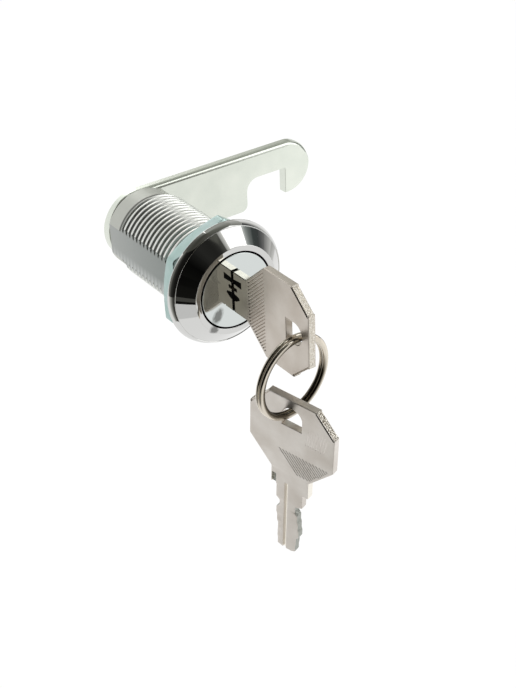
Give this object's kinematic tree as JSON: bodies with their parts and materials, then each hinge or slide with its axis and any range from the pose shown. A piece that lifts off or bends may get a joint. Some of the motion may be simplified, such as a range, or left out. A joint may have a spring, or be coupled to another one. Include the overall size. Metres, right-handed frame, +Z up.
{
  "type": "mailbox cam lock",
  "caption": "Cam lock for a mailbox door: chromed bezel, threaded double-D barrel with nut, turning wafer plug, hooked cam, and flat keys on a split ring.",
  "frame": {"origin": "lock axis at the bezel's rear face, where the door panel seats", "axes": "+Y along the lock axis towards the rear, +X along the cam at rest, +Z up along the keyway"},
  "size_m": [0.0501, 0.062, 0.0584],
  "materials": {
    "chrome_plated_zinc": "bright chrome plate on a die-cast body, with a rolled thread",
    "polished_plug_zinc": "mirror-polished plated plug face",
    "blue_zinc_steel": "blue-passivated zinc plate",
    "cam_zinc_steel": "clear-passivated zinc plate on stamped steel",
    "plated_steel": "zinc-plated steel",
    "spring_steel": "oiled spring steel",
    "wafer_brass": "stamped brass",
    "satin_nickel": "satin nickel plate on a stamped key",
    "nickel_ring_steel": "bright nickel plate on spring wire"
  },
  "bodies": {
    "body": {"body": "chrome_plated_zinc"},
    "mounting_nut": {"mounting_nut": "blue_zinc_steel"},
    "plug": {"plug": "polished_plug_zinc", "stop_washer": "plated_steel", "cam": "cam_zinc_steel", "lock_washer": "spring_steel", "cam_nut": "plated_steel", "wafer_spring_1": "spring_steel", "wafer_spring_2": "spring_steel", "wafer_spring_3": "spring_steel", "wafer_spring_4": "spring_steel", "wafer_spring_5": "spring_steel", "wafer_spring_6": "spring_steel"},
    "wafer_1": {"wafer_1": "wafer_brass"},
    "wafer_2": {"wafer_2": "wafer_brass"},
    "wafer_3": {"wafer_3": "wafer_brass"},
    "wafer_4": {"wafer_4": "wafer_brass"},
    "wafer_5": {"wafer_5": "wafer_brass"},
    "wafer_6": {"wafer_6": "wafer_brass"},
    "inserted_key": {"inserted_key": "satin_nickel"},
    "split_ring": {"split_ring": "nickel_ring_steel"},
    "spare_key": {"spare_key": "satin_nickel"}
  },
  "joints": [
    {"name": "plug_turn", "type": "hinge", "parent": "body", "child": "plug", "pos_m": [0, 0, 0], "axis": [0, -1, 0], "range_deg": [0, 90]},
    {"name": "mounting_nut_travel", "type": "slide", "parent": "body", "child": "mounting_nut", "axis": [0, 1, 0], "range_m": [0, 0.0177]},
    {"name": "wafer_1_slide", "type": "slide", "parent": "plug", "child": "wafer_1", "axis": [0, 0, 1], "range_m": [-0.00045, 0], "stiffness_N_per_m": 60, "deforming": ["wafer_spring_1"]},
    {"name": "wafer_2_slide", "type": "slide", "parent": "plug", "child": "wafer_2", "axis": [0, 0, -1], "range_m": [-0.00045, 0], "stiffness_N_per_m": 60, "deforming": ["wafer_spring_2"]},
    {"name": "wafer_3_slide", "type": "slide", "parent": "plug", "child": "wafer_3", "axis": [0, 0, -1], "range_m": [-0.00045, 0], "stiffness_N_per_m": 60, "deforming": ["wafer_spring_3"]},
    {"name": "wafer_4_slide", "type": "slide", "parent": "plug", "child": "wafer_4", "axis": [0, 0, 1], "range_m": [-0.00045, 0], "stiffness_N_per_m": 60, "deforming": ["wafer_spring_4"]},
    {"name": "wafer_5_slide", "type": "slide", "parent": "plug", "child": "wafer_5", "axis": [0, 0, -1], "range_m": [-0.00045, 0], "stiffness_N_per_m": 60, "deforming": ["wafer_spring_5"]},
    {"name": "wafer_6_slide", "type": "slide", "parent": "plug", "child": "wafer_6", "axis": [0, 0, 1], "range_m": [-0.00045, 0], "stiffness_N_per_m": 60, "deforming": ["wafer_spring_6"]},
    {"name": "key_draw", "type": "slide", "parent": "plug", "child": "inserted_key", "axis": [0, -1, 0], "range_m": [0, 0.0165]},
    {"name": "ring_swing", "type": "hinge", "parent": "inserted_key", "child": "split_ring", "pos_m": [0, -0.02145, -0.0004], "axis": [1, 0, 0], "range_deg": [-75, 20]},
    {"name": "spare_key_swing", "type": "hinge", "parent": "split_ring", "child": "spare_key", "pos_m": [-0.0022, -0.02101, -0.01458], "axis": [-0.9507, -0.2992, -0.0814], "range_deg": [-35, 35]}
  ]
}
